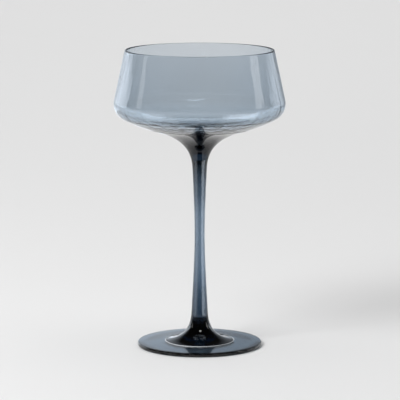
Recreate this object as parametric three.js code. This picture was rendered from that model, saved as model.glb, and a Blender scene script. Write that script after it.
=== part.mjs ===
// Coupe cocktail glass on a tall flared stem: a bowl, a stem and a foot of tinted glass, fused hot.
// Millimetres, +Z up. The origin is the centre of the face it stands on.
import * as THREE from "three";

// Fineness of the lathed surfaces
const TURN_STEPS = 48;
const DISH_STEPS = 6;
const UNDERSIDE_STEPS = 5;
const ROUND_STEPS = 8;
const LIP_STEPS = 4;
const FLOOR_STEPS = 8;
const RECESS_STEPS = 6;
const SHAFT_STEPS = 6;
const FLARE_STEPS = 10;

// The three gathers are fused; this hairline keeps their solids apart.
const FUSE_CLEARANCE = 0.02;

// Foot: a spun disc, nearly flat on top, domed a little underneath inside its standing ring
const FOOT_RADIUS = 38.5;
const FOOT_EDGE_THICKNESS = 2.4;
const FOOT_EDGE_ROUND = 0.7;
const FOOT_SEAT_HEIGHT = 2.8;
const STANDING_RING_WIDTH = 4;
const RECESS_DEPTH = 0.5;

// Stem: a solid column, narrowest at its waist, that flares at both ends
const STEM_HEIGHT = 129.2;
const WAIST_RADIUS = 3.15;
const WAIST_RISE = 66;
const LOWER_NECK_RADIUS = 5.1;
const LOWER_NECK_RISE = 18;
const UPPER_NECK_RADIUS = 4.5;
const UPPER_NECK_DROP = 21;
const NECK_LEAN = 0.05;
const FOOT_JOINT_RADIUS = 21.3;
const BOWL_JOINT_RADIUS = 31.5;
const JOINT_EDGE = 0.1;
const SHAFT_PULL = 15;
const NECK_PULL = 10;
const FOOT_FLARE_PULL = 11;
const FOOT_FLARE_ANGLE = THREE.MathUtils.degToRad(8);
const BOWL_FLARE_PULL = 23;
const BOWL_FLARE_ANGLE = THREE.MathUtils.degToRad(14);

// Bowl: a dished underside, a round shoulder and a straight wall that leans in to the rim
const BOWL_HEIGHT = 52.4;
const RIM_RADIUS = 46;
const RIM_WALL = 1.3;
const SHOULDER_RADIUS = 52.8;
const SHOULDER_RISE = 19.2;
const SHOULDER_ROUND = 10.2;
const SHOULDER_WALL = 1.6;
const UNDERSIDE_ANGLE = THREE.MathUtils.degToRad(27);
const FLOOR_THICKNESS = 2.6;

// Heights that follow from the sizes above
const BOWL_BOTTOM = FOOT_SEAT_HEIGHT + STEM_HEIGHT;
const RIM_HEIGHT = BOWL_BOTTOM + BOWL_HEIGHT;
const ROUND_CENTRE = new THREE.Vector2(SHOULDER_RADIUS - SHOULDER_ROUND, BOWL_BOTTOM + SHOULDER_RISE);

const point = (radius, height) => new THREE.Vector2(radius, height);

function glass(colour) {
  return new THREE.MeshStandardMaterial({ color: colour, roughness: 0.05, metalness: 0 });
}

// Turns a profile of (radius, height) points about the Z axis.
function turned(name, profile, colour) {
  const geometry = new THREE.LatheGeometry(profile, TURN_STEPS);
  geometry.rotateX(Math.PI / 2);
  const mesh = new THREE.Mesh(geometry, glass(colour));
  mesh.name = name;
  return mesh;
}

// Points on an arc about a centre, from one angle to another, both ends included.
function arc(centre, radius, fromAngle, toAngle, steps) {
  const points = [];
  for (let i = 0; i <= steps; i++) {
    const angle = fromAngle + ((toAngle - fromAngle) * i) / steps;
    points.push(point(centre.x + radius * Math.cos(angle), centre.y + radius * Math.sin(angle)));
  }
  return points;
}

// A cubic curve that leaves `start` along `startPull` and reaches `end` from `endPull`.
function curve(start, startPull, endPull, end, steps) {
  const handleA = start.clone().add(startPull);
  const handleB = end.clone().add(endPull);
  return new THREE.CubicBezierCurve(start, handleA, handleB, end).getPoints(steps);
}

// One skin of the bowl: its dish rises as a power of the radius and meets the shoulder's arc at the
// underside's angle, and the straight wall leaves that arc on the tangent through the rim.
function bowlSkin(bottomHeight, roundRadius, rimPoint) {
  const joinAngle = UNDERSIDE_ANGLE - Math.PI / 2;
  const join = arc(ROUND_CENTRE, roundRadius, joinAngle, joinAngle, 1)[0];
  const depth = join.y - bottomHeight;
  const power = (Math.tan(UNDERSIDE_ANGLE) * join.x) / depth;
  const toRim = rimPoint.clone().sub(ROUND_CENTRE);
  const wallAngle = toRim.angle() - Math.acos(roundRadius / toRim.length());
  return {
    joinRadius: join.x,
    height: (radius) => bottomHeight + depth * (radius / join.x) ** power,
    shoulder: arc(ROUND_CENTRE, roundRadius, joinAngle, wallAngle, ROUND_STEPS),
  };
}

// Points on a skin's dish between two radii, both ends included.
function dish(skin, fromRadius, toRadius, steps) {
  const points = [];
  for (let i = 0; i <= steps; i++) {
    const radius = fromRadius + ((toRadius - fromRadius) * i) / steps;
    points.push(point(radius, skin.height(radius)));
  }
  return points;
}

const LIP_RADIUS = RIM_WALL / 2;
const LIP_CENTRE = point(RIM_RADIUS - LIP_RADIUS, RIM_HEIGHT - LIP_RADIUS);
const OUTER_SKIN = bowlSkin(BOWL_BOTTOM, SHOULDER_ROUND, point(RIM_RADIUS, LIP_CENTRE.y));
const INNER_SKIN = bowlSkin(
  BOWL_BOTTOM + FLOOR_THICKNESS,
  SHOULDER_ROUND - SHOULDER_WALL,
  point(RIM_RADIUS - RIM_WALL, LIP_CENTRE.y),
);

function makeBowl() {
  const outside = [
    ...dish(OUTER_SKIN, 0, BOWL_JOINT_RADIUS, DISH_STEPS),
    ...dish(OUTER_SKIN, BOWL_JOINT_RADIUS, OUTER_SKIN.joinRadius, UNDERSIDE_STEPS).slice(1, -1),
    ...OUTER_SKIN.shoulder,
  ];
  const lip = arc(LIP_CENTRE, LIP_RADIUS, 0, Math.PI, LIP_STEPS);
  const inside = [
    ...dish(INNER_SKIN, 0, INNER_SKIN.joinRadius, FLOOR_STEPS).slice(0, -1),
    ...INNER_SKIN.shoulder,
  ].reverse();
  return turned("bowl", [...outside, ...lip, ...inside], 0xa3b1bf);
}

function makeStem() {
  const base = FOOT_SEAT_HEIGHT + FUSE_CLEARANCE;
  const waist = point(WAIST_RADIUS, FOOT_SEAT_HEIGHT + WAIST_RISE);
  const lowerNeck = point(LOWER_NECK_RADIUS, FOOT_SEAT_HEIGHT + LOWER_NECK_RISE);
  const upperNeck = point(UPPER_NECK_RADIUS, BOWL_BOTTOM - UPPER_NECK_DROP);
  const footEdge = point(FOOT_JOINT_RADIUS, base + JOINT_EDGE);
  const top = dish(OUTER_SKIN, 0, BOWL_JOINT_RADIUS, DISH_STEPS).reverse();
  top.forEach((p) => p.setY(p.y - FUSE_CLEARANCE));
  const bowlEdge = point(BOWL_JOINT_RADIUS, top[0].y - JOINT_EDGE);
  const upward = (lean, pull) => point(lean * pull, pull);
  const outward = (angle, pull) => point(Math.cos(angle), Math.sin(angle)).multiplyScalar(pull);
  const footFlare = curve(
    footEdge,
    outward(Math.PI - FOOT_FLARE_ANGLE, FOOT_FLARE_PULL),
    upward(-NECK_LEAN, NECK_PULL).negate(),
    lowerNeck,
    FLARE_STEPS,
  );
  const lowerShaft = curve(
    lowerNeck,
    upward(-NECK_LEAN, NECK_PULL),
    point(0, -SHAFT_PULL),
    waist,
    SHAFT_STEPS,
  );
  const upperShaft = curve(
    waist,
    point(0, SHAFT_PULL),
    upward(NECK_LEAN, NECK_PULL).negate(),
    upperNeck,
    SHAFT_STEPS,
  );
  const bowlFlare = curve(
    upperNeck,
    upward(NECK_LEAN, NECK_PULL),
    outward(Math.PI + BOWL_FLARE_ANGLE, BOWL_FLARE_PULL),
    bowlEdge,
    FLARE_STEPS,
  );
  const side = [
    ...footFlare,
    ...lowerShaft.slice(1),
    ...upperShaft.slice(1),
    ...bowlFlare.slice(1),
  ];
  return turned("stem", [point(0, base), point(FOOT_JOINT_RADIUS, base), ...side, ...top], 0x3a4656);
}

function makeFoot() {
  const ringOuter = FOOT_RADIUS - FOOT_EDGE_ROUND;
  const ringInner = ringOuter - STANDING_RING_WIDTH;
  const lowerRound = point(ringOuter, FOOT_EDGE_ROUND);
  const upperRound = point(ringOuter, FOOT_EDGE_THICKNESS - FOOT_EDGE_ROUND);
  const dome = [];
  for (let i = 0; i <= RECESS_STEPS; i++) {
    const across = i / RECESS_STEPS;
    dome.push(point(ringInner * across, RECESS_DEPTH * (1 - across ** 2)));
  }
  const profile = [
    ...dome,
    ...arc(lowerRound, FOOT_EDGE_ROUND, -Math.PI / 2, 0, LIP_STEPS),
    ...arc(upperRound, FOOT_EDGE_ROUND, 0, Math.PI / 2, LIP_STEPS),
    point(FOOT_JOINT_RADIUS, FOOT_SEAT_HEIGHT),
    point(0, FOOT_SEAT_HEIGHT),
  ];
  return turned("foot", profile, 0x5a6678);
}

const glassware = new THREE.Group();
glassware.add(makeBowl(), makeStem(), makeFoot());
export default glassware;
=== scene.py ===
"""Coupe cocktail glass: a thin tinted bowl, a solid flared stem and a flat foot, on a pale studio sweep.

Laid out as an add-on and run as a script. Every length is in metres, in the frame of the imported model.
"""

import math

import bpy
import numpy as np
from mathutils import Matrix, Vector


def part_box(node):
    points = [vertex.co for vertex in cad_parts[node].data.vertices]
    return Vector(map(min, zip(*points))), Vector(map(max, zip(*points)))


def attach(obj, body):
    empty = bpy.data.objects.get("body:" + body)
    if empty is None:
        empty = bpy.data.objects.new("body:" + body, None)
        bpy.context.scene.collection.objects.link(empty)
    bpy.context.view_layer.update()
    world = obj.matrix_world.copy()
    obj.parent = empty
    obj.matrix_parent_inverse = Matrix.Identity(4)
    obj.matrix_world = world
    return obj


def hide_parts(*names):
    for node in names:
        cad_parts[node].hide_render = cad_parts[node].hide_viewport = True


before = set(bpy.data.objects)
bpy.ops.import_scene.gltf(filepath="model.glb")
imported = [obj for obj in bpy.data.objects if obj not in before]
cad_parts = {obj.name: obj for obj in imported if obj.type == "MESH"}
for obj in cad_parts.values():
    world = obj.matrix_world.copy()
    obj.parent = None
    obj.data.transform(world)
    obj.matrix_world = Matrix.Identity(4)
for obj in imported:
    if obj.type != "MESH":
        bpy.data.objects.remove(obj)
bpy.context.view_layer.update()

bl_info = {
    "name": "Coupe Cocktail Glass",
    "version": (1, 0, 0),
    "blender": (4, 5, 0),
    "location": "View3D > Sidebar > Coupe",
    "description": "Builds a stemmed coupe of tinted glass and the studio it stands in",
    "category": "Add Mesh",
}

MM = 0.001
BOWL_LOW, BOWL_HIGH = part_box("bowl")
STEM_LOW, STEM_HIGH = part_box("stem")
FOOT_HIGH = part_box("foot")[1]

# Fineness of the turned surfaces
TURN_STEPS = 256
STEM_TURN_STEPS = 160
LINE_STEPS = 28
ARC_STEPS = 28
EDGE_STEPS = 10
CREASE_ANGLE = math.radians(32)

SAME_POINT = 1e-7

# What a strip of a turned surface is: plain glass, fused to the next piece, or the seam's bead
FREE, FUSED, SEAM = 0, 1, 2

# The bead ends past its top, and the flare starts a little inside it, in bead radii from that end
BEAD_END = math.radians(150)
FLARE_START = (-0.3, -0.5)

CLEAR_IOR = 1.5

# Height and tone of the stem's colour, from its lower flare to its upper one. The darkening near both
# flares is painted shade
STEM_PAINTED_SHADE = [
    (2.8 * MM, 0.2),
    (16 * MM, 0.25),
    (26 * MM, 0.6),
    (50 * MM, 1.0),
    (80 * MM, 1.0),
    (98 * MM, 0.6),
    (113 * MM, 0.18),
    (124 * MM, 0.18),
    (131 * MM, 0.5),
    (140 * MM, 0.8),
]

# The sweep lies just under the glass, so that their faces don't meet
FLOOR_GAP = 0.02 * MM
FLAT_STEPS = 11
BORDER_STEPS = 39
SWEEP_TURN_STEPS = 180

# The lights face this height on the glass's axis
AIM_HEIGHT = 0.1

# The glow is a part of a cylinder about the axis
GLOW_RADIUS = 0.6
GLOW_WIDTH = math.radians(70)
GLOW_LOW, GLOW_HIGH = 0.01, 0.42
GLOW_TURN_STEPS = 80
GLOW_RISE_STEPS = 40
GLOW_TINT = (0.9, 0.98, 1.08, 1)

# Height in metres and strength of the glow, from the floor up
GLOW_FALL = [(0.0, 1.1), (0.05, 1.0), (0.09, 0.55), (0.13, 0.42), (0.25, 0.28), (0.42, 0.04)]

# The glow is stronger to the left of the middle than to its right
GLOW_LEFT_SHARE, GLOW_RIGHT_SHARE = 1.5, 0.7
GLOW_MIDDLE = (-0.1, 0.06)

# The cards lie just over the sweep and fade out along both ends
CARD_HEIGHT = 0.5 * MM
CARD_TURN_STEPS = 24
CARD_RADIUS_STEPS = 8
CARD_FADE = 0.15


# ---------------------------------------------------------------- settings


def length(name, description, millimetres):
    """A length property with its default given in millimetres."""
    return bpy.props.FloatProperty(
        name=name, description=description, default=millimetres * MM, unit="LENGTH", precision=5
    )


def angle(name, description, degrees):
    """An angle property with its default given in degrees."""
    return bpy.props.FloatProperty(
        name=name, description=description, default=math.radians(degrees), subtype="ANGLE"
    )


def number(name, description, value):
    """A plain number property."""
    return bpy.props.FloatProperty(name=name, description=description, default=value)


def colour(name, description, rgb):
    """A colour property, red, green and blue from 0 to 1."""
    return bpy.props.FloatVectorProperty(
        name=name, description=description, default=rgb, size=3, subtype="COLOR", min=0, max=1
    )


class BowlSettings(bpy.types.PropertyGroup):
    """Sizes and glass of the bowl"""

    rim_radius: length("Rim radius", "Outside radius of the mouth", 46)
    rim_wall: length("Rim wall", "Thickness of the wall at the rim", 1.3)
    shoulder_rise: length("Shoulder rise", "Height of the widest ring above the bowl's bottom", 19.2)
    shoulder_round: length("Shoulder round", "Radius of the shoulder's arc", 10.2)
    shoulder_wall: length("Shoulder wall", "Thickness of the wall at the shoulder", 1.6)
    underside_angle: angle("Underside angle", "Slope where the underside meets the shoulder", 27)
    floor_thickness: length("Floor thickness", "Glass under the middle of the cavity", 2.6)
    tint: colour("Tint", "Colour that the glass lets through", (0.16, 0.34, 0.48))
    density: number("Tint density", "Absorption per metre", 255.0)
    ripple_scale: number("Ripple scale", "Ripples per metre", 260)
    ripple_stretch: number("Ripple stretch", "Pace of the ripples along the axis, against across it", 0.04)
    ripple_height: length("Ripple height", "Height of the ripples", 0.14)


class StemSettings(bpy.types.PropertyGroup):
    """Sizes and glass of the stem"""

    waist_radius: length("Waist radius", "Radius at the narrowest place", 3.15)
    waist_rise: length("Waist rise", "Height of the waist above the foot", 66)
    lower_neck_radius: length("Lower neck radius", "Radius above the lower flare", 5.1)
    lower_neck_rise: length("Lower neck rise", "Height of the lower neck above the foot", 18)
    upper_neck_radius: length("Upper neck radius", "Radius below the upper flare", 4.5)
    upper_neck_drop: length("Upper neck drop", "Depth of the upper neck below the bowl", 21)
    neck_lean: number("Neck lean", "Widening of the shaft at its necks, per unit of height", 0.05)
    shaft_pull: length("Shaft pull", "Length of the curve's handles at the waist", 15)
    neck_pull: length("Neck pull", "Length of the curve's handles at the necks", 10)
    foot_flare_pull: length("Foot flare pull", "Length of the lower flare's handle", 11)
    foot_flare_angle: angle("Foot flare angle", "Slope of the lower flare at its edge", 8)
    bowl_flare_pull: length("Bowl flare pull", "Length of the upper flare's handle", 23)
    bowl_flare_angle: angle("Bowl flare angle", "Slope of the upper flare at its edge", 14)
    joint_edge: length("Joint edge", "Thickness of the flares at their edges", 0.1)
    bead: length("Seam bead", "Radius of the bead round the lower flare", 0.22)
    foot_joint_radius: length("Foot joint radius", "Radius of the lower flare's edge", 21.3)
    tint: colour("Tint", "Colour that the glass lets through", (0.16, 0.32, 0.46))
    density: number("Tint density", "Absorption per metre", 330.0)
    ripple_scale: number("Ripple scale", "Ripples per metre", 90)
    ripple_stretch: number("Ripple stretch", "Pace of the ripples along the axis, against across it", 0.05)
    ripple_height: length("Ripple height", "Height of the ripples", 0.015)


class FootSettings(bpy.types.PropertyGroup):
    """Sizes and glass of the foot"""

    edge_thickness: length("Edge thickness", "Thickness of the foot at its edge", 2.4)
    edge_round: length("Edge round", "Radius of the foot's rounded edges", 0.7)
    ring_width: length("Standing ring width", "Width of the flat ring it stands on", 4)
    recess_depth: length("Recess depth", "Depth of the dome inside the standing ring", 0.5)
    tint: colour("Tint", "Colour that the glass lets through", (0.16, 0.34, 0.48))
    density: number("Tint density", "Absorption per metre", 340.0)
    ripple_scale: number("Ripple scale", "Ripples per metre", 40)
    ripple_stretch: number("Ripple stretch", "Pace of the ripples along the axis, against across it", 1)
    ripple_height: length("Ripple height", "Height of the ripples", 0.01)


class StageSettings(bpy.types.PropertyGroup):
    """Camera, sweep, room, lights and cards"""

    camera_distance: length("Camera distance", "Distance from the glass's axis", 1567)
    camera_above_rim: length("Camera above rim", "Height of the camera above the rim", 152)
    camera_side: length("Camera side", "Step of the camera to the right of the axis", 0.22)
    camera_pitch: angle("Camera pitch", "How far the camera looks down", 8.895)
    lens: number("Lens", "Focal length in millimetres", 230.9)
    sweep: colour("Sweep", "Colour of the paper's flat part", (0.8, 0.8, 0.8))
    # The border's darker top colour is painted shade
    sweep_painted_shade: colour("Sweep top", "Colour of the border's top edge", (0.25, 0.25, 0.25))
    sweep_flat: length("Sweep flat", "Radius of the flat floor", 1750)
    sweep_radius: length("Sweep radius", "Radius of the border's top edge", 2600)
    sweep_height: length("Sweep height", "Height of the border's top edge", 420)
    painted_shade_from: length("Fade height", "Height where the border begins to darken", 50)
    painted_shade_to: length("Fade end", "Height where the border is darkest", 120)
    room: colour("Room", "Colour of the dim room beyond the sweep", (0.06, 0.06, 0.062))
    room_top: colour("Room top", "Colour of the dark room overhead", (0.03, 0.03, 0.03))
    room_low: angle("Room fade", "Elevation where the room begins to darken", 14)
    room_high: angle("Room fade end", "Elevation where the room is darkest", 38)
    key_watts: number("Key", "Power of the soft light at the front left", 29)
    top_watts: number("Overhead", "Power of the soft light above", 80)
    glow: number("Glow", "Strength of the glow that the foot and the bowl reflect", 1.15)
    glow_left: number("Left glow", "How much more it glows at the left", 2.2)
    glow_right: number("Right glow", "How much more it glows at the right", 1.5)
    right_watts: number("Right strip", "Power of the narrow light at the right", 0.6)
    left_watts: number("Left strip", "Power of the narrow light at the left", 0.24)
    far_watts: number("Far light", "Power of the light over the far paper", 15)
    high_watts: number("Back high", "Power of the wide light behind, seen through the glass", 6.0)
    front_watts: number("Front top", "Power of the light high in front", 1.0)
    back_watts: number("Back light", "Power of the small light high behind", 1)
    mat_right: number("Right card", "Glow of the card on the paper at the front right", 4.0)
    mat_left: number("Left card", "Glow of the card on the paper at the front left", 2.2)


SETTINGS = {
    "coupe_bowl": BowlSettings,
    "coupe_stem": StemSettings,
    "coupe_foot": FootSettings,
    "coupe_stage": StageSettings,
}


# ---------------------------------------------------------------- curves in the (radius, height) plane


def at(radius, height):
    """A point at a radius from the axis and a height over the floor."""
    return np.array([radius, height])


def arc(centre, radius, start, end, steps):
    """Points centre + radius (cos a, sin a) for a from start to end."""
    a = np.linspace(start, end, steps + 1)
    return centre + radius * np.column_stack([np.cos(a), np.sin(a)])


def line(start, end, steps):
    """Evenly spaced points from start to end."""
    t = np.linspace(0, 1, steps + 1)[:, None]
    return start + (end - start) * t


def curve(start, start_pull, end_pull, end, steps):
    """A cubic Bezier curve that leaves start along start_pull and reaches end from end + end_pull."""
    t = np.linspace(0, 1, steps + 1)[:, None]
    u = 1 - t
    near, far = start + start_pull, end + end_pull
    return u**3 * start + 3 * u * u * t * near + 3 * u * t * t * far + t**3 * end


class Skin:
    """One skin of the bowl. Its dish is height = bottom + depth (radius / join radius) ^ power, the power
    chosen so that the dish meets the shoulder's arc at the underside's angle; the straight wall
    leaves the arc on the tangent through the rim's point."""

    def __init__(self, s, bottom, round_radius, rim):
        centre = at(BOWL_HIGH.x - s.shoulder_round, BOWL_LOW.z + s.shoulder_rise)
        start = s.underside_angle - math.pi / 2
        self.join = arc(centre, round_radius, start, start, 1)[0]
        self.bottom = bottom
        self.depth = self.join[1] - bottom
        self.power = math.tan(s.underside_angle) * self.join[0] / self.depth
        to_rim = rim - centre
        reach = float(np.hypot(*to_rim))
        end = math.atan2(to_rim[1], to_rim[0]) - math.acos(round_radius / reach)
        self.shoulder = arc(centre, round_radius, start, end, ARC_STEPS)
        self.wall = line(self.shoulder[-1], rim, LINE_STEPS)

    def dish(self, start, end, steps):
        """Points of the dish from one radius to another."""
        r = np.linspace(start, end, steps + 1)
        return np.column_stack([r, self.bottom + self.depth * (r / self.join[0]) ** self.power])


def joined(*runs):
    """One profile from runs (mark, points) end to end, and the mark of the strip between each point
    and the next. The point where two runs meet is kept once."""
    points = np.vstack([run for _, run in runs])
    marks = np.concatenate([np.full(len(run), mark) for mark, run in runs])
    keep = np.ones(len(points), bool)
    keep[1:] = np.hypot(*np.diff(points, axis=0).T) > SAME_POINT
    return points[keep], marks[keep][1:]


# ---------------------------------------------------------------- meshes


def placed(name, data):
    """A new object that holds some data, in the scene."""
    made = bpy.data.objects.new(name, data)
    bpy.context.scene.collection.objects.link(made)
    return made


def turned(name, profile, marks, steps):
    """The surface (r cos a, r sin a, z) of a profile (r, z) that starts and ends on the axis, turned
    through a full circle. marks tells which strips are free, fused to the next piece or its seam."""
    angles = np.linspace(0, 2 * np.pi, steps, endpoint=False)
    inner = profile[1:-1]
    rings = np.stack(
        [
            inner[:, :1] * np.cos(angles),
            inner[:, :1] * np.sin(angles),
            np.repeat(inner[:, 1:], steps, axis=1),
        ],
        axis=-1,
    ).reshape(-1, 3)
    poles = np.array([[0, 0, profile[0, 1]], [0, 0, profile[-1, 1]]])
    vertices = np.vstack([poles, rings])
    j = np.arange(steps)
    k = (j + 1) % steps
    row = (2 + steps * np.arange(len(inner)))[:, None]
    last = row[-1, 0]
    fan_low = np.column_stack([np.zeros(steps, int), row[0, 0] + k, row[0, 0] + j])
    fan_high = np.column_stack([last + j, last + k, np.ones(steps, int)])
    quads = np.stack([row[:-1] + j, row[:-1] + k, row[1:] + k, row[1:] + j], axis=-1).reshape(-1, 4)
    corners = np.concatenate([fan_low.ravel(), quads.ravel(), fan_high.ravel()])
    sides = np.concatenate([np.full(steps, 3), np.full(len(quads), 4), np.full(steps, 3)])
    mesh = bpy.data.meshes.new(name)
    mesh.vertices.add(len(vertices))
    mesh.vertices.foreach_set("co", vertices.ravel())
    mesh.loops.add(len(corners))
    mesh.loops.foreach_set("vertex_index", corners)
    mesh.polygons.add(len(sides))
    mesh.polygons.foreach_set("loop_start", np.concatenate([[0], np.cumsum(sides)[:-1]]))
    mesh.update(calc_edges=True)
    mesh.validate()
    mark = mesh.attributes.new("fused", "FLOAT", "FACE")
    mark.data.foreach_set("value", np.repeat(marks == FUSED, steps).astype(float))
    mesh.polygons.foreach_set("material_index", np.repeat(marks == SEAM, steps).astype(int))
    mesh.shade_smooth()
    mesh.set_sharp_from_angle(angle=CREASE_ANGLE)
    return placed(name, mesh)


def sheet(name, points, material):
    """A sheet of the stage through a grid of points, with a face between each four neighbours."""
    rows, columns = points.shape[:2]
    row, column = np.meshgrid(np.arange(rows - 1), np.arange(columns - 1), indexing="ij")
    first = (row * columns + column).ravel()
    faces = np.column_stack([first, first + 1, first + columns + 1, first + columns])
    mesh = bpy.data.meshes.new(name)
    mesh.from_pydata(points.reshape(-1, 3).tolist(), [], faces.tolist())
    mesh.materials.append(material)
    made = placed(name, mesh)
    return made


# ---------------------------------------------------------------- materials


def blown_surface():
    """The effect shared by the three glasses: drawn-out ripples left by turning and blowing, fine seeds
    of unevenness, and a tint that drifts a little. It puts out a colour, a roughness and a height."""
    group = bpy.data.node_groups.get("Blown surface")
    if group:
        return group
    group = bpy.data.node_groups.new("Blown surface", "ShaderNodeTree")
    sockets = group.interface
    for name, kind, default in (
        ("Clear", "NodeSocketColor", (1, 1, 1, 1)),
        ("Drift", "NodeSocketColor", (0.95, 0.96, 0.98, 1)),
        ("Ripple Scale", "NodeSocketFloat", 60.0),
        ("Ripple Stretch", "NodeSocketFloat", 0.1),
        ("Haze", "NodeSocketFloat", 0.0),
    ):
        made = sockets.new_socket(name, in_out="INPUT", socket_type=kind)
        made.default_value = default
    for name, kind in (
        ("Colour", "NodeSocketColor"),
        ("Roughness", "NodeSocketFloat"),
        ("Height", "NodeSocketFloat"),
    ):
        sockets.new_socket(name, in_out="OUTPUT", socket_type=kind)
    nodes, links = group.nodes, group.links
    given = nodes.new("NodeGroupInput")
    out = nodes.new("NodeGroupOutput")
    place = nodes.new("ShaderNodeTexCoord")
    squash = nodes.new("ShaderNodeCombineXYZ")
    squash.inputs["X"].default_value = 1
    squash.inputs["Y"].default_value = 1
    links.new(given.outputs["Ripple Stretch"], squash.inputs["Z"])
    stretch = nodes.new("ShaderNodeVectorMath")
    stretch.operation = "MULTIPLY"
    links.new(place.outputs["Object"], stretch.inputs[0])
    links.new(squash.outputs["Vector"], stretch.inputs[1])
    ripple = nodes.new("ShaderNodeTexNoise")
    ripple.inputs["Detail"].default_value = 1.0
    ripple.inputs["Roughness"].default_value = 0.4
    links.new(stretch.outputs["Vector"], ripple.inputs["Vector"])
    links.new(given.outputs["Ripple Scale"], ripple.inputs["Scale"])
    links.new(ripple.outputs["Fac"], out.inputs["Height"])
    drift = nodes.new("ShaderNodeTexNoise")
    drift.inputs["Scale"].default_value = 18.0
    drift.inputs["Detail"].default_value = 0.0
    links.new(place.outputs["Object"], drift.inputs["Vector"])
    tone = nodes.new("ShaderNodeMix")
    tone.data_type = "RGBA"
    links.new(drift.outputs["Fac"], tone.inputs["Factor"])
    links.new(given.outputs["Clear"], tone.inputs["A"])
    links.new(given.outputs["Drift"], tone.inputs["B"])
    links.new(tone.outputs["Result"], out.inputs["Colour"])
    haze = nodes.new("ShaderNodeMath")
    haze.operation = "MULTIPLY"
    links.new(drift.outputs["Fac"], haze.inputs[0])
    links.new(given.outputs["Haze"], haze.inputs[1])
    links.new(haze.outputs["Value"], out.inputs["Roughness"])
    return group


def glass(name, s):
    """Solid tinted glass with the tint and ripples of a piece's settings. Light fades by the tint as it
    passes through the body; the faces that are fused to the next piece don't bend or reflect it."""
    material = bpy.data.materials.new(name)
    material.use_nodes = True
    nodes, links = material.node_tree.nodes, material.node_tree.links
    shader = nodes["Principled BSDF"]
    shader.inputs["Transmission Weight"].default_value = 1
    shader.inputs["IOR"].default_value = CLEAR_IOR
    surface = nodes.new("ShaderNodeGroup")
    surface.node_tree = blown_surface()
    surface.inputs["Ripple Scale"].default_value = s.ripple_scale
    surface.inputs["Ripple Stretch"].default_value = s.ripple_stretch
    links.new(surface.outputs["Colour"], shader.inputs["Base Color"])
    links.new(surface.outputs["Roughness"], shader.inputs["Roughness"])
    bump = nodes.new("ShaderNodeBump")
    bump.inputs["Strength"].default_value = 1
    bump.inputs["Distance"].default_value = s.ripple_height
    links.new(surface.outputs["Height"], bump.inputs["Height"])
    links.new(bump.outputs["Normal"], shader.inputs["Normal"])
    fused = nodes.new("ShaderNodeAttribute")
    fused.attribute_name = "fused"
    free = nodes.new("ShaderNodeMath")
    free.operation = "SUBTRACT"
    free.inputs[0].default_value = 1
    links.new(fused.outputs["Fac"], free.inputs[1])
    links.new(free.outputs["Value"], shader.inputs["Alpha"])
    body = nodes.new("ShaderNodeVolumeAbsorption")
    body.inputs["Color"].default_value = (*s.tint, 1)
    body.inputs["Density"].default_value = s.density
    links.new(body.outputs["Volume"], nodes["Material Output"].inputs["Volume"])
    return material


def painted_shade_ramp(name, tones):
    """Painted shade for a piece: a grey that darkens its colour towards its ends, where shade falls. tones
    lists (height, tone) from low to high; it puts out the tone at the point's height as a grey colour."""
    group = bpy.data.node_groups.new(name, "ShaderNodeTree")
    top = group.interface.new_socket("Top", in_out="INPUT", socket_type="NodeSocketFloat")
    top.default_value = tones[-1][0]
    group.interface.new_socket("Colour", in_out="OUTPUT", socket_type="NodeSocketColor")
    nodes, links = group.nodes, group.links
    given = nodes.new("NodeGroupInput")
    out = nodes.new("NodeGroupOutput")
    place = nodes.new("ShaderNodeTexCoord")
    part = nodes.new("ShaderNodeSeparateXYZ")
    links.new(place.outputs["Object"], part.inputs["Vector"])
    share = nodes.new("ShaderNodeMath")
    share.operation = "DIVIDE"
    links.new(part.outputs["Z"], share.inputs[0])
    links.new(given.outputs["Top"], share.inputs[1])
    ramp = nodes.new("ShaderNodeValToRGB")
    ramp.color_ramp.interpolation = "EASE"
    stops = ramp.color_ramp.elements
    for stop, (height, tone) in zip([stops[0], stops[1]] + [stops.new(0.5) for _ in tones[2:]], tones):
        stop.position = height / tones[-1][0]
        stop.color = (tone, tone, tone, 1)
    links.new(share.outputs["Value"], ramp.inputs["Fac"])
    links.new(ramp.outputs["Color"], out.inputs["Colour"])
    return group


def add_painted_shade(material, group):
    """Multiply a glass's surface colour by a group's colour, which here is painted shade."""
    nodes, links = material.node_tree.nodes, material.node_tree.links
    shader = nodes["Principled BSDF"]
    tone = nodes.new("ShaderNodeGroup")
    tone.node_tree = group
    mix = nodes.new("ShaderNodeMix")
    mix.data_type = "RGBA"
    mix.blend_type = "MULTIPLY"
    mix.inputs["Factor"].default_value = 1
    links.new(shader.inputs["Base Color"].links[0].from_socket, mix.inputs["A"])
    links.new(tone.outputs["Colour"], mix.inputs["B"])
    links.new(mix.outputs["Result"], shader.inputs["Base Color"])


def seam_painted_highlight():
    """A pale, hazy bead where the stem is fused onto the foot; its pale colour is a painted highlight for
    the bright ring there.
    """
    material = bpy.data.materials.new("seam_painted_highlight")
    material.use_nodes = True
    nodes, links = material.node_tree.nodes, material.node_tree.links
    shader = nodes["Principled BSDF"]
    shader.inputs["IOR"].default_value = CLEAR_IOR
    surface = nodes.new("ShaderNodeGroup")
    surface.node_tree = blown_surface()
    surface.inputs["Clear"].default_value = (0.7, 0.74, 0.78, 1)
    surface.inputs["Drift"].default_value = (0.9, 0.93, 0.96, 1)
    surface.inputs["Haze"].default_value = 0.4
    links.new(surface.outputs["Colour"], shader.inputs["Base Color"])
    links.new(surface.outputs["Roughness"], shader.inputs["Roughness"])
    return material


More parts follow.
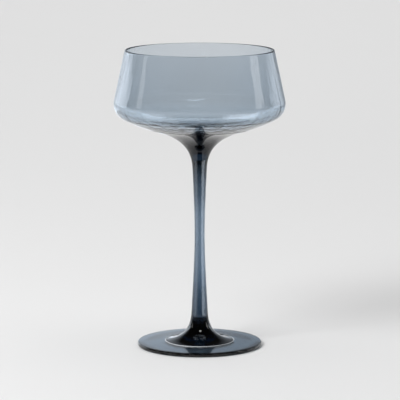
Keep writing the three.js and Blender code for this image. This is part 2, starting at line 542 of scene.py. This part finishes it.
def faded(nodes, links, vector, low, high, below, above):
    """A socket with a colour that turns smoothly from below to above as a vector's Z goes from low to
    high."""
    part = nodes.new("ShaderNodeSeparateXYZ")
    links.new(vector, part.inputs["Vector"])
    fade = nodes.new("ShaderNodeMapRange")
    fade.interpolation_type = "SMOOTHSTEP"
    fade.inputs["From Min"].default_value = low
    fade.inputs["From Max"].default_value = high
    links.new(part.outputs["Z"], fade.inputs["Value"])
    tone = nodes.new("ShaderNodeMix")
    tone.data_type = "RGBA"
    tone.inputs["A"].default_value = (*below, 1)
    tone.inputs["B"].default_value = (*above, 1)
    links.new(fade.outputs["Result"], tone.inputs["Factor"])
    return tone.outputs["Result"]


def paper(s):
    """Matt paper that turns from the sweep's colour to a darker one up its border; the darkening is
    painted shade, where less light reaches the top.
    """
    material = bpy.data.materials.new("sweep_paper")
    material.use_nodes = True
    nodes, links = material.node_tree.nodes, material.node_tree.links
    shader = nodes["Principled BSDF"]
    shader.inputs["Roughness"].default_value = 0.9
    shader.inputs["Specular IOR Level"].default_value = 0
    place = nodes.new("ShaderNodeTexCoord")
    # Painted shade up the border
    tone = faded(nodes, links, place.outputs["Object"], s.painted_shade_from, s.painted_shade_to, s.sweep, s.sweep_painted_shade)
    links.new(tone, shader.inputs["Base Color"])
    return material


# ---------------------------------------------------------------- operators


def finished(piece, node, material):
    """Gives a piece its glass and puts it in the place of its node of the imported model."""
    piece.data.materials.append(material)
    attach(piece, "root")
    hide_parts(node)


def outer_skin(s):
    """The bowl's outer skin, whose dish the stem's top follows too."""
    lip = s.rim_wall / 2
    return Skin(s, BOWL_LOW.z, s.shoulder_round, at(s.rim_radius, BOWL_HIGH.z - lip))


class COUPE_OT_bowl(bpy.types.Operator):
    """Turn the thin bowl, with its fire-polished rim"""

    bl_idname = "coupe.bowl"
    bl_label = "Make the Bowl"

    def execute(self, context):
        s = context.scene.coupe_bowl
        joint_radius = STEM_HIGH.x
        lip = s.rim_wall / 2
        rim = at(s.rim_radius - lip, BOWL_HIGH.z - lip)
        outer = outer_skin(s)
        inner = Skin(
            s,
            BOWL_LOW.z + s.floor_thickness,
            s.shoulder_round - s.shoulder_wall,
            at(s.rim_radius - s.rim_wall, rim[1]),
        )
        profile, marks = joined(
            (FUSED, outer.dish(0, joint_radius, ARC_STEPS)),
            (FREE, outer.dish(joint_radius, outer.join[0], ARC_STEPS)),
            (FREE, outer.shoulder),
            (FREE, outer.wall),
            (FREE, arc(rim, lip, 0, math.pi, EDGE_STEPS)),
            (FREE, inner.wall[::-1]),
            (FREE, inner.shoulder[::-1]),
            (FREE, inner.dish(inner.join[0], 0, ARC_STEPS)),
        )
        piece = turned("bowl_glass", profile, marks, TURN_STEPS)
        finished(piece, "bowl", glass("bowl_glass", s))
        return {"FINISHED"}


class COUPE_OT_stem(bpy.types.Operator):
    """Turn the solid stem, flared at both ends"""

    bl_idname = "coupe.stem"
    bl_label = "Make the Stem"

    def execute(self, context):
        s = context.scene.coupe_stem
        outer = outer_skin(context.scene.coupe_bowl)
        joint_radius = STEM_HIGH.x
        base = STEM_LOW.z
        top = outer.dish(0, joint_radius, ARC_STEPS)[::-1]
        top = top - at(0, top[0, 1] - STEM_HIGH.z)
        waist = at(s.waist_radius, FOOT_HIGH.z + s.waist_rise)
        lower_neck = at(s.lower_neck_radius, FOOT_HIGH.z + s.lower_neck_rise)
        upper_neck = at(s.upper_neck_radius, BOWL_LOW.z - s.upper_neck_drop)
        bead = at(s.foot_joint_radius, base + s.bead)
        bead_arc = arc(bead, s.bead, -math.pi / 2, BEAD_END, EDGE_STEPS)
        foot_edge = bead_arc[-1] + s.bead * at(*FLARE_START)
        bowl_edge = at(joint_radius, STEM_HIGH.z - s.joint_edge)
        lean = s.neck_lean * s.neck_pull
        foot_pull = s.foot_flare_pull * at(-math.cos(s.foot_flare_angle), math.sin(s.foot_flare_angle))
        bowl_pull = -s.bowl_flare_pull * at(math.cos(s.bowl_flare_angle), math.sin(s.bowl_flare_angle))
        profile, marks = joined(
            (FUSED, line(at(0, base), at(s.foot_joint_radius, base), ARC_STEPS)),
            (SEAM, bead_arc),
            (FREE, curve(foot_edge, foot_pull, at(lean, -s.neck_pull), lower_neck, ARC_STEPS)),
            (FREE, curve(lower_neck, at(-lean, s.neck_pull), at(0, -s.shaft_pull), waist, LINE_STEPS)),
            (FREE, curve(waist, at(0, s.shaft_pull), at(-lean, -s.neck_pull), upper_neck, LINE_STEPS)),
            (FREE, curve(upper_neck, at(lean, s.neck_pull), bowl_pull, bowl_edge, ARC_STEPS)),
            (FREE, line(bowl_edge, top[0], 1)),
            (FUSED, top),
        )
        piece = turned("stem_glass", profile, marks, STEM_TURN_STEPS)
        material = glass("stem_glass", s)
        # The stem's colour is darkened towards both flares: painted shade
        add_painted_shade(material, painted_shade_ramp("Stem painted shade", STEM_PAINTED_SHADE))
        finished(piece, "stem", material)
        # The seam's pale bead is a painted highlight
        piece.data.materials.append(seam_painted_highlight())
        return {"FINISHED"}


class COUPE_OT_foot(bpy.types.Operator):
    """Turn the flat foot, with its rounded edge, standing ring and shallow dome"""

    bl_idname = "coupe.foot"
    bl_label = "Make the Foot"

    def execute(self, context):
        s = context.scene.coupe_foot
        joint_radius = context.scene.coupe_stem.foot_joint_radius
        ring_outer = FOOT_HIGH.x - s.edge_round
        ring_inner = ring_outer - s.ring_width
        across = np.linspace(0, 1, ARC_STEPS + 1)
        # The dome falls with the square of the radius
        dome = np.column_stack([ring_inner * across, s.recess_depth * (1 - across**2)])
        lower, upper = at(ring_outer, s.edge_round), at(ring_outer, s.edge_thickness - s.edge_round)
        seat = at(joint_radius, FOOT_HIGH.z)
        profile, marks = joined(
            (FREE, dome),
            (FREE, arc(lower, s.edge_round, -math.pi / 2, 0, EDGE_STEPS)),
            (FREE, arc(upper, s.edge_round, 0, math.pi / 2, EDGE_STEPS)),
            (FREE, line(at(ring_outer, s.edge_thickness), seat, LINE_STEPS)),
            (FUSED, line(seat, at(0, FOOT_HIGH.z), LINE_STEPS)),
        )
        piece = turned("foot_glass", profile, marks, TURN_STEPS)
        finished(piece, "foot", glass("foot_glass", s))
        return {"FINISHED"}


def softbox(name, turn, rise, distance, width, height, watts, on_paper=True, on_glass=True, through=True):
    """A soft rectangular light facing a point on the glass's axis. turn is its angle in degrees from
    straight behind the glass towards the right, and rise its angle above the point. on_paper,
    on_glass and through say whether it lights the paper, is reflected and is seen through glass."""
    data = bpy.data.lights.new(name, "AREA")
    data.shape = "RECTANGLE"
    data.size = width
    data.size_y = height
    data.energy = watts
    light = placed(name, data)
    turn, rise = math.radians(turn), math.radians(rise)
    out = Vector((math.sin(turn) * math.cos(rise), math.cos(turn) * math.cos(rise), math.sin(rise)))
    light.location = Vector((0, 0, AIM_HEIGHT)) + distance * out
    light.rotation_euler = out.to_track_quat("Z", "Y").to_euler()
    light.visible_diffuse = on_paper
    light.visible_glossy = on_glass
    light.visible_transmission = through


def lights(s):
    """The soft lights. Those that shade the paper aren't reflected by the glass, and those that the
    glass reflects don't light the paper."""
    softbox("key", -135, 35, 1.9, 1.0, 1.0, s.key_watts, on_glass=False, through=False)
    softbox("overhead", 0, 67, 2.5, 5.0, 5.0, s.top_watts, on_glass=False)
    softbox("far_light", 0, 36, 3.2, 3.0, 1.0, s.far_watts, on_glass=False, through=False)
    softbox("back_light", 0, 62, 1.2, 0.12, 0.06, s.back_watts, on_paper=False, through=False)
    softbox("back_high", 0, 19, 1.5, 2.0, 0.6, s.high_watts, on_paper=False, on_glass=False)
    softbox("right_strip", 92, 16, 1.0, 0.26, 0.3, s.right_watts, on_paper=False, through=False)
    softbox("left_strip", -92, 16, 1.0, 0.14, 0.3, s.left_watts, on_paper=False, through=False)
    softbox("front_top", 174, 52, 1.2, 0.35, 0.2, s.front_watts, on_paper=False)


def smooth(x, low, high):
    """0 below low, 1 above high and 3t^2 - 2t^3 between them."""
    t = np.clip((x - low) / (high - low), 0, 1)
    return t * t * (3 - 2 * t)


def glowing(name):
    """A black material that glows by its mesh's strength attribute."""
    material = bpy.data.materials.new(name)
    material.use_nodes = True
    nodes, links = material.node_tree.nodes, material.node_tree.links
    shader = nodes["Principled BSDF"]
    shader.inputs["Base Color"].default_value = (0, 0, 0, 1)
    shader.inputs["Specular IOR Level"].default_value = 0
    shader.inputs["Emission Color"].default_value = GLOW_TINT
    value = nodes.new("ShaderNodeAttribute")
    value.attribute_name = "strength"
    links.new(value.outputs["Fac"], shader.inputs["Emission Strength"])
    material.cycles.emission_sampling = "NONE"
    return material


def unseen(name, points, strength):
    """A sheet that is only seen as a reflection in the glass. strength is its glow at each point."""
    made = sheet(name, points, glowing(name))
    mark = made.data.attributes.new("strength", "FLOAT", "POINT")
    mark.data.foreach_set("value", strength.ravel())
    made.visible_camera = False
    made.visible_diffuse = False
    made.visible_shadow = False
    made.visible_transmission = False


def glow_screen(s):
    """The glow behind the glass that its foot and sides reflect, on points (R sin a, R cos a, z). It
    falls with height, is stronger on the left, and grows to both sides at the height of the bowl."""
    turns = np.linspace(-GLOW_WIDTH, GLOW_WIDTH, GLOW_TURN_STEPS + 1)
    turn, z = np.meshgrid(turns, np.linspace(GLOW_LOW, GLOW_HIGH, GLOW_RISE_STEPS + 1))
    fall = np.interp(z, *np.transpose(GLOW_FALL))
    share = GLOW_LEFT_SHARE + (GLOW_RIGHT_SHARE - GLOW_LEFT_SHARE) * smooth(turn, *GLOW_MIDDLE)
    sides = s.glow_left * smooth(-turn, 0.2, 1.0) + s.glow_right * smooth(turn, 0.3, 1.0)
    beside_bowl = smooth(z, 0.07, 0.14) * (1 - smooth(z, 0.2, 0.26))
    points = np.stack([GLOW_RADIUS * np.sin(turn), GLOW_RADIUS * np.cos(turn), z], axis=-1)
    unseen("glow", points, s.glow * (fall * share + sides * beside_bowl))


def card(name, start, end, inner, outer, strength):
    """A card that lies on the paper, on points (r sin a, r cos a, height): a ring sector from one turn
    in degrees to another, between two radii. It is black where its strength is 0."""
    turns = np.radians(np.linspace(start, end, CARD_TURN_STEPS + 1))
    turn, radius = np.meshgrid(turns, np.linspace(inner, outer, CARD_RADIUS_STEPS + 1))
    height = np.full_like(turn, CARD_HEIGHT)
    points = np.stack([radius * np.sin(turn), radius * np.cos(turn), height], axis=-1)
    fade_in = smooth(turn, turns[0], turns[0] + CARD_FADE)
    fade_out = 1 - smooth(turn, turns[-1] - CARD_FADE, turns[-1])
    unseen(name, points, strength * fade_in * fade_out)


def cards(s):
    """A black card in front of the foot and a glowing one at each side."""
    card("front_mat", 146, 214, 0.05, 0.6, 0)
    card("right_mat", 92, 150, 0.2, 0.6, s.mat_right)
    card("left_mat", -137, -92, 0.2, 0.6, s.mat_left)


def room(s):
    """The room around the sweep: dim near the floor's level and darker above."""
    world = bpy.data.worlds.new("room")
    world.use_nodes = True
    nodes, links = world.node_tree.nodes, world.node_tree.links
    direction = nodes.new("ShaderNodeTexCoord")
    low, high = math.sin(s.room_low), math.sin(s.room_high)
    tone = faded(nodes, links, direction.outputs["Generated"], low, high, s.room, s.room_top)
    links.new(tone, nodes["Background"].inputs["Color"])
    return world


def sweep(s):
    """A round sheet of paper, flat around the glass, whose border turns up along a quarter circle:
    radius = flat + border sin q and height = top (1 - cos q), with q from 0 to 90 degrees."""
    flat = np.linspace(0, s.sweep_flat, FLAT_STEPS + 1)[:-1]
    q = np.linspace(0, np.pi / 2, BORDER_STEPS + 1)
    radii = np.concatenate([flat, s.sweep_flat + (s.sweep_radius - s.sweep_flat) * np.sin(q)])
    heights = np.concatenate([np.zeros(len(flat)), s.sweep_height * (1 - np.cos(q))]) - FLOOR_GAP
    radius, turn = np.meshgrid(radii, np.linspace(0, 2 * np.pi, SWEEP_TURN_STEPS + 1))
    height = np.broadcast_to(heights, radius.shape)
    points = np.stack([radius * np.cos(turn), radius * np.sin(turn), height], axis=-1)
    sheet("sweep", points, paper(s)).data.shade_smooth()


def camera(s):
    """The camera, in front of the glass and above its rim, looking a little down."""
    data = bpy.data.cameras.new("camera")
    data.lens = s.lens
    data.clip_end = 20
    made = placed("camera", data)
    made.location = (s.camera_side, -s.camera_distance, BOWL_HIGH.z + s.camera_above_rim)
    made.rotation_euler = (math.pi / 2 - s.camera_pitch, 0, 0)
    return made


class COUPE_OT_stage(bpy.types.Operator):
    """Lay the pale sweep, hang the soft lights and place the camera"""

    bl_idname = "coupe.stage"
    bl_label = "Make the Stage"

    def execute(self, context):
        scene = context.scene
        s = scene.coupe_stage
        sweep(s)
        scene.world = room(s)
        glow_screen(s)
        cards(s)
        lights(s)
        scene.camera = camera(s)
        scene.view_settings.view_transform = "Standard"
        # Light crosses many faces of clear glass before it leaves
        scene.cycles.max_bounces = 32
        scene.cycles.transmission_bounces = 32
        scene.cycles.glossy_bounces = 16
        scene.cycles.transparent_max_bounces = 32
        return {"FINISHED"}


class COUPE_PT_panel(bpy.types.Panel):
    """The sidebar's list of pieces, each with its button and settings"""

    bl_idname = "COUPE_PT_panel"
    bl_label = "Coupe Glass"
    bl_space_type = "VIEW_3D"
    bl_region_type = "UI"
    bl_category = "Coupe"

    def draw(self, context):
        for key, settings in SETTINGS.items():
            box = self.layout.box()
            box.operator(key.replace("_", "."))
            for name in settings.__annotations__:
                box.prop(getattr(context.scene, key), name)


CLASSES = (
    *SETTINGS.values(),
    COUPE_OT_bowl,
    COUPE_OT_stem,
    COUPE_OT_foot,
    COUPE_OT_stage,
    COUPE_PT_panel,
)


def register():
    """Make the classes and the scene's settings known."""
    for cls in CLASSES:
        bpy.utils.register_class(cls)
    for key, settings in SETTINGS.items():
        setattr(bpy.types.Scene, key, bpy.props.PointerProperty(type=settings))


def unregister():
    """Take away what register added."""
    for key in SETTINGS:
        delattr(bpy.types.Scene, key)
    for cls in reversed(CLASSES):
        bpy.utils.unregister_class(cls)


def main():
    """Build the stage and the three pieces."""
    register()
    bpy.ops.coupe.stage()
    bpy.ops.coupe.bowl()
    bpy.ops.coupe.stem()
    bpy.ops.coupe.foot()


if __name__ == "__main__":
    main()
